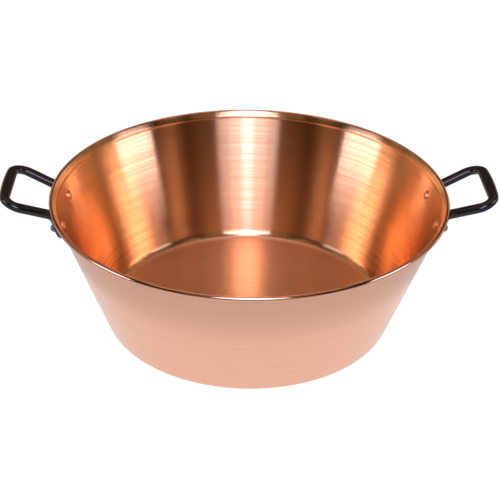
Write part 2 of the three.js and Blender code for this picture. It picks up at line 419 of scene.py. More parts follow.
@dataclass(frozen=True)
class BlackIron(Finish):
    """Cast iron under a gloss black coat, which follows the casting's uneven skin."""

    coat: Colour = (0.004, 0.004, 0.0042)
    thin_coat: Colour = (0.009, 0.0088, 0.0085)
    roughness: Span = (0.05, 0.11)
    gloss: float = 1.0
    coat_ior: float = 1.55
    under_gloss: float = 0.05
    wave_depth: float = 0.00018
    wave_size: float = 0.009
    wave_contrast: float = 2.5
    pit_size: float = 0.0011
    pit_share: float = 0.08

    def build(self, kit: GroupKit) -> bpy.types.Material:
        """Builds the material.

        Args:
            kit: The shared node groups.

        Returns:
            The material.
        """
        material, nodes, shader = self.begin()
        sizes = {"Wave Size": self.wave_size, "Pit Size": self.pit_size}
        skin = kit.place(nodes, "hammered_skin", {**sizes, "Pit Share": self.pit_share})
        cloud_values = {"Cloud Size": self.wave_size, "Contrast": self.wave_contrast}
        clouds = kit.place(nodes, "tone_clouds", cloud_values).outputs["Mask"]
        finish = {
            "Base Color": nodes.mix(clouds, self.coat, self.thin_coat),
            "Roughness": nodes.remap(clouds, (0.0, 1.0), self.roughness),
            "Coat Weight": self.gloss,
            "Coat IOR": self.coat_ior,
            "Specular IOR Level": self.under_gloss,
            "Normal": nodes.bump(skin.outputs["Height"], self.wave_depth),
        }
        nodes.fill(shader, finish)
        return material


@dataclass(frozen=True)
class DrawnWire(Finish):
    """Drawn steel wire with lines round the rim."""

    bright: Colour = (0.5, 0.51, 0.52)
    dull: Colour = (0.3, 0.3, 0.31)
    roughness: Span = (0.3, 0.5)
    line_spacing: float = 0.0002
    line_depth: float = 0.00001
    band_spacing: float = 0.001
    band_range: Span = (0.3, 0.7)

    def build(self, kit: GroupKit) -> bpy.types.Material:
        """Builds the material.

        Args:
            kit: The shared node groups.

        Returns:
            The material.
        """
        material, nodes, shader = self.begin()
        spacings = {"Line Spacing": self.line_spacing, "Band Spacing": self.band_spacing}
        grain = kit.place(nodes, "spun_grain", spacings)
        finish = {
            "Base Color": nodes.mix(grain.outputs["Streak"], self.bright, self.dull),
            "Roughness": nodes.remap(grain.outputs["Streak"], self.band_range, self.roughness),
            "Metallic": 1.0,
            "Normal": nodes.bump(grain.outputs["Height"], self.line_depth),
        }
        nodes.fill(shader, finish)
        return material


# Mesh tools


class MeshTools:
    """Turns rows of points into smooth closed meshes."""

    @staticmethod
    def arc(
        centre: Sequence[float], radius: float, start: float, stop: float, steps: int
    ) -> np.ndarray:
        """Points on an arc between two angles in radians, one more than the steps."""
        angles = np.linspace(start, stop, steps + 1)
        return np.asarray(centre) + radius * np.stack([np.cos(angles), np.sin(angles)], -1)

    @staticmethod
    def line(start: Sequence[float], stop: Sequence[float], steps: int) -> np.ndarray:
        """Points between two ends, without the ends, one fewer than the steps."""
        shares = np.linspace(0.0, 1.0, steps + 1)[1:-1, None]
        return np.asarray(start) * (1 - shares) + np.asarray(stop) * shares

    @staticmethod
    def band(low: int, high: int, count: int) -> Faces:
        """Faces between two closed rings of equal count, given by their first points."""
        turns = [(j, (j + 1) % count) for j in range(count)]
        return [(low + j, low + k, high + k, high + j) for j, k in turns]

    @staticmethod
    def revolve(profile: np.ndarray, segments: int) -> tuple[np.ndarray, Faces]:
        """Turns an open profile, which starts and ends on the axis, about Z.

        Args:
            profile: Points of radius and height.
            segments: Number of segments round.

        Returns:
            The vertices, ring by ring with one at each pole, and the faces.
        """
        turns = np.linspace(0.0, 2 * math.pi, segments, endpoint=False)
        rings = profile[1:-1]
        ring_points = np.stack(
            [
                rings[:, None, 0] * np.cos(turns),
                rings[:, None, 0] * np.sin(turns),
                np.broadcast_to(rings[:, None, 1], (len(rings), segments)),
            ],
            -1,
        ).reshape(-1, 3)
        poles = np.array([[0.0, 0.0, profile[0][1]], [0.0, 0.0, profile[-1][1]]])
        first, last = len(ring_points), len(ring_points) + 1
        top = (len(rings) - 1) * segments
        faces: Faces = []
        for j in range(segments):
            k = (j + 1) % segments
            faces += [(first, k, j), (last, top + j, top + k)]
        for low in range(0, top, segments):
            faces += MeshTools.band(low, low + segments, segments)
        return np.vstack([ring_points, poles]), faces

    @staticmethod
    def zones(faces: Faces, segments: int, starts: Sequence[int]) -> list[int]:
        """Finds which stretch of the profile each face of a turned mesh belongs to.

        Args:
            faces: The faces that revolve made.
            segments: Number of segments round.
            starts: Index of the first point of each stretch after the first one.

        Returns:
            The stretch's number for each face.
        """
        # The profile's first point is the pole, so ring n joins point n + 1 to point n + 2
        ends = np.array([min(face[:2]) // segments + 2 for face in faces])
        which = np.searchsorted(np.array(starts), ends, side="right")
        which[0 : 2 * segments : 2] = 0
        which[1 : 2 * segments : 2] = len(starts)
        return which.tolist()

    @staticmethod
    def tube(sections: Sequence[np.ndarray]) -> tuple[np.ndarray, Faces]:
        """Joins closed sections of equal count into a tube with closed ends.

        Args:
            sections: Rings of points, in order along the tube.

        Returns:
            The vertices and the faces.
        """
        count = len(sections[0])
        last = (len(sections) - 1) * count
        faces: Faces = [tuple(range(count))[::-1]]
        for low in range(0, last, count):
            faces += MeshTools.band(low, low + count, count)
        faces.append(tuple(range(last, last + count)))
        return np.vstack(sections), faces

    @staticmethod
    def make(name: str, points: np.ndarray, faces: Faces, sharp_angle: float) -> bpy.types.Object:
        """Makes a smooth-shaded object.

        Args:
            name: The piece's name.
            points: Its vertices.
            faces: Its faces.
            sharp_angle: Angle in radians past which an edge stays sharp.

        Returns:
            The object, linked to the scene.
        """
        mesh = bpy.data.meshes.new(name)
        mesh.from_pydata(points.tolist(), [], faces)
        shell = bmesh.new()
        shell.from_mesh(mesh)
        bmesh.ops.recalc_face_normals(shell, faces=shell.faces)
        shell.to_mesh(mesh)
        shell.free()
        mesh.shade_smooth()
        mesh.set_sharp_from_angle(angle=sharp_angle)
        piece = bpy.data.objects.new(name, mesh)
        bpy.context.collection.objects.link(piece)
        return piece

    @staticmethod
    def paint(
        piece: bpy.types.Object, materials: Sequence[bpy.types.Material], which: Sequence[int]
    ) -> None:
        """Gives each face one of the materials.

        Args:
            piece: The object.
            materials: Its materials.
            which: The material's index for each face.
        """
        for material in materials:
            piece.data.materials.append(material)
        piece.data.polygons.foreach_set("material_index", which)
        piece.data.update()


# The pan's wall, which the handles and rivets sit on


@dataclass(frozen=True)
class Wall:
    """Sizes of the spun sheet, and the line of its wall."""

    rim_radius: float
    height: float
    base_radius: float = 0.14025
    corner_radius: float = 0.0065
    sheet: float = 0.0012
    lip_height: float = 0.0065
    lip_reach: float = 0.0069
    bead_radius: float = 0.00215

    @property
    def crease(self) -> np.ndarray:
        """Radius and height of the crease on the inside."""
        return np.array([self.rim_radius - self.lip_reach, self.height - self.lip_height])

    @property
    def bead_centre(self) -> np.ndarray:
        """Radius and height of the bead's centre."""
        return np.array([self.rim_radius - self.bead_radius, self.height - self.bead_radius])

    @property
    def lean(self) -> float:
        """Angle of the wall from the vertical, in radians."""
        span = self.crease - np.array([self.base_radius, 0.0])
        return math.atan2(span[0], span[1]) + math.asin(self.sheet / np.hypot(*span))

    @property
    def lip_lean(self) -> float:
        """Angle of the lip from the vertical, in radians."""
        span = self.bead_centre - self.crease
        return math.atan2(span[0], span[1]) - math.asin(self.bead_radius / np.hypot(*span))

    def radius_at(self, height: float) -> float:
        """Radius of the wall's outer face at a height above the base."""
        return self.base_radius + height * math.tan(self.lean)

    def frame_at(self, azimuth: float, height: float) -> Matrix:
        """Frame on the wall's outer face: X round the pan, Y up the wall, Z out of it.

        Args:
            azimuth: Angle from +X, in radians.
            height: Height above the base.

        Returns:
            The frame as a 4 by 4 matrix.
        """
        radial = Vector((math.cos(azimuth), math.sin(azimuth), 0.0))
        axis = Vector((0.0, 0.0, 1.0))
        out = radial * math.cos(self.lean) - axis * math.sin(self.lean)
        up = radial * math.sin(self.lean) + axis * math.cos(self.lean)
        place = Matrix((up.cross(out), up, out)).transposed().to_4x4()
        place.translation = radial * self.radius_at(height) + axis * height
        return place


@dataclass(frozen=True)
class RivetPlan:
    """Where the rivets are."""

    drop: float = 0.0208
    spacing: float = 0.06

    def frame(self, wall: Wall, side: Side, edge: Edge) -> Matrix:
        """Frame of one rivet on the wall's outer face.

        Args:
            wall: The wall that it goes through.
            side: The handle's side.
            edge: The handle's end.

        Returns:
            The frame, with Z along the rivet and out of the pan.
        """
        height = wall.height - self.drop
        azimuth = edge.value * math.asin(self.spacing / 2 / wall.radius_at(height))
        if side is Side.LEFT:
            azimuth = math.pi - azimuth
        return wall.frame_at(azimuth, height)


# Sub-assemblies


@dataclass
class PanBody:
    """The spun copper bowl with its flared lip and rolled edge."""

    wall: Wall
    rivets: RivetPlan
    inside: bpy.types.Material
    outside: bpy.types.Material
    bead: bpy.types.Material
    floor: bpy.types.Material
    fillet_radius: float = 0.011
    crease_radius: float = 0.004
    crease_foot: float = 0.0013
    crease_lean: float = math.radians(2.0)
    curl_turn: float = math.radians(272)
    curl_inner_radius: float = 0.00095
    fillet_share: float = 0.625
    dent_depth: float = 0.00022
    dent_reach: float = 0.009
    sharp_angle: float = math.radians(50)
    segments: int = 480
    wall_steps: int = 44
    floor_steps: int = 30
    arc_steps: int = 16
    curl_steps: int = 30
    fit_rounds: int = 20

    def corner(self, radius: float, depth: float) -> np.ndarray:
        """Arc between floor and wall.

        Args:
            radius: Its radius.
            depth: How deep it lies below the sheet's outer face.

        Returns:
            The arc's points, from the floor to the wall.
        """
        lean, reach = self.wall.lean, radius + depth
        centre = (self.wall.base_radius - reach * (1 - math.sin(lean)) / math.cos(lean), reach)
        return MeshTools.arc(centre, radius, -math.pi / 2, -lean, self.arc_steps)

    def crease(self) -> tuple[np.ndarray, float]:
        """Pressed line between wall and lip on the inside, where the sheet stands almost upright.

        Returns:
            The points from the wall to the lip, and the lean of the lip's upper face.
        """
        wall, steep = self.wall, self.crease_lean
        up = np.array([math.sin(wall.lean), math.cos(wall.lean)])
        start = wall.crease - self.crease_foot * up
        centre = start + self.crease_radius * np.array([-math.cos(wall.lean), math.sin(wall.lean)])
        foot = MeshTools.arc(centre, self.crease_radius, -wall.lean, -steep, self.arc_steps // 2)
        centre = foot[-1] + self.crease_radius * np.array([math.cos(steep), -math.sin(steep)])
        lip = wall.lip_lean
        for _ in range(self.fit_rounds):
            ends = (math.pi - steep, math.pi - lip)
            head = MeshTools.arc(centre, self.crease_radius, *ends, self.arc_steps)
            span = wall.bead_centre - head[-1]
            lip = math.atan2(span[0], span[1]) - math.asin(wall.bead_radius / np.hypot(*span))
        return np.vstack([foot[:-1], head]), lip

    def outer_crease(self) -> np.ndarray:
        """Bend between wall and lip on the outside.

        Returns:
            The arc's points, from the wall to the lip.
        """
        lean, lip = self.wall.lean, self.wall.lip_lean
        middle = (lean + lip) / 2
        out = np.array([math.cos(middle), -math.sin(middle)])
        radius = self.wall.sheet
        centre = self.wall.crease + out * 2 * radius / math.cos((lip - lean) / 2)
        return MeshTools.arc(centre, radius, math.pi - lean, math.pi - lip, self.arc_steps)

    def curl(self, radius: float, lip: float) -> np.ndarray:
        """Rolled edge of one radius, from where the lip leans as given round to its open end."""
        end = math.pi - self.wall.lip_lean - self.curl_turn
        return MeshTools.arc(self.wall.bead_centre, radius, math.pi - lip, end, self.curl_steps)

    def profile(self) -> tuple[np.ndarray, list[int]]:
        """Outline of the sheet, from the underside's centre round the rim to the floor's centre.

        Returns:
            The points, and where the finishes of the bead, of the inside and of its floor start.
        """
        wall = self.wall
        outer_corner = self.corner(wall.corner_radius, 0.0)
        inner_corner = self.corner(self.fillet_radius, wall.sheet)[::-1]
        outer_crease = self.outer_crease()
        inner_crease, lip = self.crease()
        inner_crease = inner_crease[::-1]
        rows = [
            np.array([[0.0, 0.0]]),
            MeshTools.line((0.0, 0.0), outer_corner[0], self.floor_steps),
            outer_corner,
            MeshTools.line(outer_corner[-1], outer_crease[0], self.wall_steps),
            outer_crease,
            self.curl(self.curl_inner_radius, wall.lip_lean),
            self.curl(wall.bead_radius, lip)[::-1],
            inner_crease,
            MeshTools.line(inner_crease[-1], inner_corner[0], self.wall_steps),
            inner_corner,
            MeshTools.line(inner_corner[-1], (0.0, wall.sheet), self.floor_steps),
            np.array([[0.0, wall.sheet]]),
        ]
        bead_start = sum(len(row) for row in rows[:6])
        inside_start = bead_start + len(rows[6])
        corner_start = inside_start + len(rows[7]) + len(rows[8])
        floor_start = corner_start + round(self.fillet_share * self.arc_steps)
        return np.vstack(rows), [bead_start, inside_start, floor_start]

    def dent(self, points: np.ndarray) -> np.ndarray:
        """Draws the wall out a little round each rivet, where it was struck tight.

        Args:
            points: The bowl's vertices.

        Returns:
            The moved vertices.
        """
        moved = points.copy()
        for side in Side:
            for edge in Edge:
                place = self.rivets.frame(self.wall, side, edge)
                local = np.asarray(place.inverted())
                near = points @ local[:3, :3].T + local[:3, 3]
                spread = np.exp(-(near[:, 0] ** 2 + near[:, 1] ** 2) / self.dent_reach**2)
                close = np.abs(near[:, 2]) < self.dent_reach
                out = np.asarray(place)[:3, 2]
                moved += (self.dent_depth * spread * close)[:, None] * out
        return moved

    def build(self) -> bpy.types.Object:
        """Builds and dresses the bowl.

        Returns:
            The bowl's object.
        """
        profile, starts = self.profile()
        points, faces = MeshTools.revolve(profile, self.segments)
        piece = MeshTools.make("copper_bowl", self.dent(points), faces, self.sharp_angle)
        finishes = (self.outside, self.bead, self.inside, self.floor)
        MeshTools.paint(piece, finishes, MeshTools.zones(faces, self.segments, starts))
        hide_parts("pan_body")
        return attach(piece, "root")


@dataclass
class RimWire:
    """The steel wire inside the rolled edge."""

    wall: Wall
    finish: bpy.types.Material
    radius: float = 0.0007
    segments: int = 384
    steps: int = 16

    def build(self) -> bpy.types.Object:
        """Builds and dresses the wire.

        Returns:
            The wire's object.
        """
        turns = np.linspace(0.0, 2 * math.pi, self.steps, endpoint=False)
        radii = self.wall.bead_centre[0] + self.radius * np.cos(turns)
        heights = self.wall.bead_centre[1] + self.radius * np.sin(turns)
        rounds = np.linspace(0.0, 2 * math.pi, self.segments, endpoint=False)[:, None]
        sections = [radii * np.cos(rounds), radii * np.sin(rounds), heights + 0 * rounds]
        points = np.stack(sections, -1).reshape(-1, 3)
        count = self.segments * self.steps
        faces: Faces = []
        for low in range(0, count, self.steps):
            faces += MeshTools.band(low, (low + self.steps) % count, self.steps)
        piece = MeshTools.make("drawn_rim_wire", points, faces, math.pi)
        MeshTools.paint(piece, (self.finish,), [0] * len(faces))
        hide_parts("rim_wire")
        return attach(piece, "root")


@dataclass
class Rivet:
    """One rivet: a low dome inside the bowl, a shank, and a smaller head outside the lug."""

    wall: Wall
    rivets: RivetPlan
    side: Side
    edge: Edge
    inner_finish: bpy.types.Material
    outer_finish: bpy.types.Material
    lug_face: float = 0.007
    seat_gap: float = 0.0003
    sink: float = 0.0001
    shank_radius: float = 0.0025
    inner_radius: float = 0.0045
    inner_height: float = 0.0015
    outer_radius: float = 0.0036
    outer_side: float = 0.0014
    outer_dome: float = 0.0024
    sharp_angle: float = math.radians(40)
    segments: int = 64
    steps: int = 12

    @staticmethod
    def dome(radius: float, seat: float, height: float, steps: int) -> np.ndarray:
        """Profile of a domed head.

        Args:
            radius: The head's radius.
            seat: Height of its rim along the rivet.
            height: Height of the crown over the rim, negative for a dome that points down.
            steps: Steps from rim to crown.

        Returns:
            The profile's points from rim to crown.
        """
        sphere = (radius**2 + height**2) / (2 * abs(height))
        sign = math.copysign(1.0, height)
        centre = (0.0, seat + height - sign * sphere)
        rim = math.atan2(seat - centre[1], radius)
        return MeshTools.arc(centre, sphere, rim, sign * math.pi / 2, steps)

    def profile(self) -> tuple[np.ndarray, int]:
        """Outline of the rivet from the crown inside the bowl to the crown outside.

        Returns:
            The points, and the index of the first one past the end of the shank.
        """
        inner_seat = self.sink - self.wall.sheet
        outer_seat = self.lug_face - self.sink
        side_top = self.lug_face + self.seat_gap + self.outer_side
        rim = -self.wall.sheet - self.seat_gap
        inner = self.dome(self.inner_radius, rim, -self.inner_height, self.steps)
        outer = self.dome(self.outer_radius, side_top, self.outer_dome, self.steps)
        rows = [
            inner[::-1],
            [[self.inner_radius, inner_seat], [self.shank_radius, inner_seat]],
            [[self.shank_radius, outer_seat], [self.outer_radius, outer_seat]],
            outer,
        ]
        return np.vstack(rows), len(rows[0]) + len(rows[1]) + 1

    def build(self) -> bpy.types.Object:
        """Builds and dresses the rivet.

        Returns:
            The rivet's object.
        """
        profile, outer_start = self.profile()
        points, faces = MeshTools.revolve(profile, self.segments)
        place = np.asarray(self.rivets.frame(self.wall, self.side, self.edge))
        points = points @ place[:3, :3].T + place[:3, 3]
        name = f"rivet_{self.side.label}_{self.edge.label}"
        piece = MeshTools.make(f"{name}_fine", points, faces, self.sharp_angle)
        finishes = (self.inner_finish, self.outer_finish)
        MeshTools.paint(piece, finishes, MeshTools.zones(faces, self.segments, [outer_start]))
        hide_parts(name)
        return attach(piece, "root")


@dataclass
class LoopHandle:
    """A cast loop handle: two lugs on the wall, two arms and a grip, in one smooth casting."""

    wall: Wall
    rivets: RivetPlan
    side: Side
    finish: bpy.types.Material
    drop: float = 0.0118
    rise: float = math.radians(21.9)
    reach: float = 0.0556
    thickness: float = 0.0068
    edge_round: float = 0.0026
    arm_width: float = 0.01
    spacing_at_wall: float = 0.057
    spacing_at_grip: float = 0.081
    grip_width: float = 0.011
    grip_bow: float = 0.0018
    inner_radius: float = 0.007
    outer_radius: float = 0.019
    lug_width: float = 0.023
    lug_face: float = 0.007
    lug_edge_round: float = 0.002
    lug_shoulder: float = 0.001
    lug_neck: float = 0.0115
    knee_radius: float = 0.0114
    seat_gap: float = 0.0003
    tip_angle: float = 0.07
    sharp_angle: float = math.radians(60)
    end_steps: int = 16
    lug_steps: int = 16
    knee_steps: int = 12
    arm_steps: int = 16
    corner_steps: int = 18
    grip_steps: int = 12
    edge_steps: int = 6
    face_steps: int = 8

    @property
    def along(self) -> Vector:
        """Direction out from the wall in the loop's plane."""
        return Vector((math.cos(self.rise), 0.0, math.sin(self.rise)))

    @property
    def above(self) -> Vector:
        """Direction square to the loop's plane, upwards."""
        return Vector((-math.sin(self.rise), 0.0, math.cos(self.rise)))

    @property
    def root(self) -> Vector:
        """Point where the loop's plane meets the wall's outer face, at the middle."""
        height = self.wall.height - self.drop
        return Vector((self.wall.radius_at(height), 0.0, height))

    @property
    def splay(self) -> float:
        """Angle by which each arm spreads from the middle plane."""
        run = self.reach - self.grip_width / 2
        return math.atan2((self.spacing_at_grip - self.spacing_at_wall) / 2, run)

    def offset_at(self, along: float) -> float:
        """Half the spacing of the arms' centre lines, at a distance out along the loop's plane."""
        return self.spacing_at_wall / 2 + along * math.tan(self.splay)

    def loop_point(self, along: float, offset: float, above: float) -> Vector:
        """Point of the right-hand loop, by distances out, sideways and above its plane."""
        return self.root + self.along * along + Vector((0.0, offset, 0.0)) + self.above * above

    def edge_line(self, inner: bool, foot: float) -> np.ndarray:
        """One edge of the loop in its plane, from the knee to the middle of the grip.

        Args:
            inner: True for the edge round the finger gap.
            foot: Distance out at which the arm's centre line leaves the knee.

        Returns:
            Points of distance out and distance from the middle.
        """
        half = self.arm_width / 2
        sign = -1 if inner else 1
        radius = self.inner_radius if inner else self.outer_radius
        end = self.reach - self.grip_width if inner else self.reach - self.grip_bow
        bow = 0.0 if inner else self.grip_bow
        corner = np.array([end, self.offset_at(end) + sign * half / math.cos(self.splay)])
        middle = np.array([end + bow, 0.0])
        back = -np.array([math.cos(self.splay), math.sin(self.splay)])
        ahead = (middle - corner) / np.hypot(*(middle - corner))
        half_angle = math.acos(float(back @ ahead)) / 2
        bisector = (back + ahead) / np.hypot(*(back + ahead))
        centre = corner + bisector * radius / math.sin(half_angle)
        start = corner + back * radius / math.tan(half_angle)
        stop = corner + ahead * radius / math.tan(half_angle)
        turns = [math.atan2(*(point - centre)[::-1]) for point in (start, stop)]
        square = np.array([-math.sin(self.splay), math.cos(self.splay)])
        first = np.array([foot, self.offset_at(foot)]) + sign * half * square
        grip = MeshTools.line(stop, middle, self.grip_steps)
        share = grip[:, 1] / stop[1]
        grip[:, 0] += (middle[0] - stop[0]) * (share - share**2)
        return np.vstack(
            [
                [first],
                MeshTools.line(first, start, self.arm_steps),
                MeshTools.arc(centre, radius, turns[0], turns[1], self.corner_steps),
                grip,
                [middle],
            ]
        )

    def section(self, half: float, thickness: float, soft: float) -> np.ndarray:
        """Rounded rectangle.

        Args:
            half: Half its width.
            thickness: Its thickness.
            soft: Radius of its corners.

        Returns:
            Points across and through the casting, counter-clockwise.
        """
        flat_x, flat_y = half - soft, thickness / 2 - soft
        rows = []
        for turn, (x, y) in enumerate(((1, 1), (-1, 1), (-1, -1), (1, -1))):
            ends = (turn * math.pi / 2, (turn + 1) * math.pi / 2)
            rows.append(MeshTools.arc((x * flat_x, y * flat_y), soft, *ends, self.edge_steps))
            if turn % 2 == 0:
                level = y * (flat_y + soft)
                face = ((x * flat_x, level), (-x * flat_x, level))
                rows.append(MeshTools.line(*face, self.face_steps))
        return np.vstack(rows)

    def lug_section(self, below: float) -> np.ndarray:
        """Section of the lug's round lower end.

        Args:
            below: Distance up from the lug's lowest point.

        Returns:
            The section's points.
        """
        radius, soft = self.lug_width / 2, self.lug_edge_round
        thickness = self.lug_face - self.seat_gap
        full = self.section(radius, thickness, soft)
        chord = math.sqrt(max(radius**2 - (radius - below) ** 2, 0.0))
        across = full[:, 0] / radius * chord
        inset = np.clip(radius - np.hypot(across, radius - below), 0.0, soft)
        level = thickness / 2 - soft + np.sqrt(np.clip(soft**2 - (soft - inset) ** 2, 0.0, None))
        return np.stack([across, np.sign(full[:, 1]) * level], -1)

    def neck_section(self, along: float) -> np.ndarray:
        """Section between the rivet and the arm, where the lug is drawn in.

        Args:
            along: Distance above the rivet's axis.

        Returns:
            The section's points.
        """
        run = self.lug_neck - self.lug_shoulder
        share = min(max((along - self.lug_shoulder) / run, 0.0), 1.0)
        ease = share * share * (3 - 2 * share)
        half = self.lug_width / 2 + (self.arm_width / 2 - self.lug_width / 2) * ease
        lug_thickness = self.lug_face - self.seat_gap
        thickness = lug_thickness + (self.thickness - lug_thickness) * ease
        soft = self.lug_edge_round + (self.edge_round - self.lug_edge_round) * ease
        return self.section(half, thickness, soft)

    @staticmethod
    def lay(
        section: np.ndarray, centre: Vector, heading: Vector, top: Vector, edge: Edge
    ) -> np.ndarray:
        """Places a section square to a heading.

        Args:
            section: Its points across and through the casting.
            centre: Its middle.
            heading: The direction that the casting runs in.
            top: A direction near that of the casting's upper face.
            edge: The handle's end.

        Returns:
            The points in the row frame.
        """
        upper = (top - heading * top.dot(heading)).normalized()
        across = heading.cross(upper) * -edge.value
        return np.array(centre) + np.outer(section[:, 0], across) + np.outer(section[:, 1], upper)

    def half_rows(self, edge: Edge) -> list[np.ndarray]:
        """Sections from the lug's lowest point to the middle of the grip.

        Args:
            edge: The handle's end.

        Returns:
            The sections' points in the row frame, for the right-hand handle.
        """
        place = self.rivets.frame(self.wall, Side.RIGHT, edge)
        out = place.col[2].xyz
        centre = place @ Vector((0.0, 0.0, (self.seat_gap + self.lug_face) / 2))
        start = self.loop_point(0.0, edge.value * self.offset_at(0.0), 0.0)
        arm = (self.loop_point(1.0, edge.value * self.offset_at(1.0), 0.0) - start).normalized()
        corner = start + arm * ((centre - start).dot(out) / arm.dot(out))
        climb = (corner - centre).normalized()
        turn = climb.angle(arm)
        tangent = self.knee_radius * math.tan(turn / 2)
        length = (corner - centre).length - tangent
        rows = []
        radius = self.lug_width / 2
        for angle in np.linspace(self.tip_angle, math.pi / 2, self.end_steps):
            below = radius * (1 - math.cos(angle))
            spot = centre + climb * (below - radius)
            rows.append(self.lay(self.lug_section(below), spot, climb, -out, edge))
        for along in np.linspace(0.0, length, self.lug_steps)[1:]:
            spot = centre + climb * along
            rows.append(self.lay(self.neck_section(along), spot, climb, -out, edge))
        sideways = (arm - climb * arm.dot(climb)).normalized()
        for share in np.linspace(0.0, 1.0, self.knee_steps)[1:-1]:
            angle = turn * share
            heading = climb * math.cos(angle) + sideways * math.sin(angle)
            bend = climb * math.sin(angle) + sideways * (1 - math.cos(angle))
            spot = centre + climb * length + bend * self.knee_radius
            top = self.above * share - out * (1 - share)
            section = self.neck_section(length + self.knee_radius * angle)
            rows.append(self.lay(section, spot, heading, top, edge))
        foot = (corner + arm * tangent - self.root).dot(self.along)
        for inner, outer in zip(self.edge_line(True, foot), self.edge_line(False, foot)):
            middle, span = (inner + outer) / 2, outer - inner
            width = float(np.hypot(*span))
            points = self.section(width / 2, self.thickness, self.edge_round)
            plan = middle + np.outer(points[:, 0], span / width)
            spots = [self.loop_point(u, edge.value * v, w) for (u, v), w in zip(plan, points[:, 1])]
            rows.append(np.array(spots))
        return rows

    def build(self) -> bpy.types.Object:
        """Builds and dresses the handle.

        Returns:
            The handle's object.
        """
        rows = self.half_rows(Edge.FRONT) + self.half_rows(Edge.REAR)[-2::-1]
        points, faces = MeshTools.tube(rows)
        if self.side is Side.LEFT:
            points = points * np.array([-1.0, -1.0, 1.0])
        name = f"handle_{self.side.label}"
        piece = MeshTools.make(f"{name}_casting", points, faces, self.sharp_angle)
        MeshTools.paint(piece, (self.finish,), [0] * len(faces))
        flat = piece.modifiers.new("flat_faces", "WEIGHTED_NORMAL")
        flat.keep_sharp = True
        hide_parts(name)
        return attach(piece, "root")


# Camera and studio


@dataclass(frozen=True)
class PhotoCamera:
    """The camera that the photo was taken with, as fitted to the rim, wall and handles."""

    aim: float = 0.0658
    distance: float = 1.2
    elevation: float = 30.565
    turn: float = 1.82
    roll: float = 0.88
    lens: float = 88.12
    shift: Span = (0.0018, 0.00074)

    def build(self) -> None:
        """Makes the camera and sets it as the scene's."""
        azimuth, elevation = math.radians(-self.turn), math.radians(self.elevation)
        level = math.cos(elevation)
        back = Vector((math.sin(azimuth) * level, -math.cos(azimuth) * level, math.sin(elevation)))
        camera = bpy.data.objects.new("photo_camera", bpy.data.cameras.new("photo_camera"))
        bpy.context.collection.objects.link(camera)
        camera.location = Vector((0.0, 0.0, self.aim)) + back * self.distance
        camera.rotation_mode = "QUATERNION"
        roll = Quaternion((0.0, 0.0, 1.0), math.radians(self.roll))
        camera.rotation_quaternion = (-back).to_track_quat("-Z", "Y") @ roll
        camera.data.lens = self.lens
        camera.data.shift_x, camera.data.shift_y = self.shift
        bpy.context.scene.camera = camera


@dataclass(frozen=True)
class Card:
    """A card on a dome round the pan, in degrees from the camera's side and above the floor.

    A card of a higher layer hangs in front of the lower ones.
    A card with a twin has its mirror image too.
    """

    name: str
    azimuth: Span
    elevation: Span
    glow: float
    layer: int
    twin: bool = False
    tint: Colour = (1.0, 1.0, 1.0)
    dome_radius: float = 3.2
    layer_gap: float = 0.05
    step: float = 4.0

    def build(self, ambient: float) -> None:
        """Makes the card, which lights and mirrors but isn't seen by the camera.

        Args:
            ambient: Least light that it gives to rough surfaces.
        """
        material = self.material(ambient)
        for side in (Side.RIGHT, Side.LEFT) if self.twin else (Side.RIGHT,):
            card = self.sheet(side)
            card.data.materials.append(material)
            card.visible_camera = False

    def sheet(self, side: Side) -> bpy.types.Object:
        """Makes the curved sheet.

        Args:
            side: Which of the two the sheet is, where the card has a twin.

        Returns:
            The sheet.
        """
        columns, rows = [
            round((stop - start) / self.step) + 1 for start, stop in (self.azimuth, self.elevation)
        ]
        turns, rises = np.meshgrid(
            side.value * np.radians(np.linspace(*self.azimuth, columns)),
            np.radians(np.linspace(*self.elevation, rows)),
        )
        level = np.cos(rises)
        dome = np.stack([np.sin(turns) * level, -np.cos(turns) * level, np.sin(rises)], -1)
        faces = [
            (i * columns + j, i * columns + j + 1, (i + 1) * columns + j + 1, (i + 1) * columns + j)
            for i in range(rows - 1)
            for j in range(columns - 1)
        ]
        points = dome.reshape(-1, 3) * (self.dome_radius - self.layer * self.layer_gap)
        return MeshTools.make(f"{self.name}_{side.label}", points, faces, math.pi)

    def material(self, ambient: float) -> bpy.types.Material:
        """Makes the card's own light.

        Args:
            ambient: Least light that it gives to rough surfaces.

        Returns:
            The material.
        """
        material = bpy.data.materials.new(self.name)
        nodes = Nodes.of(material)
        diffuse = nodes.add("ShaderNodeLightPath").outputs["Is Diffuse Ray"]
        strength = nodes.math("MAXIMUM", self.glow, nodes.math("MULTIPLY", diffuse, ambient))
        glow = nodes.add("ShaderNodeEmission", {"Color": self.tint, "Strength": strength})
        nodes.add("ShaderNodeOutputMaterial", {"Surface": glow.outputs[0]})
        return material


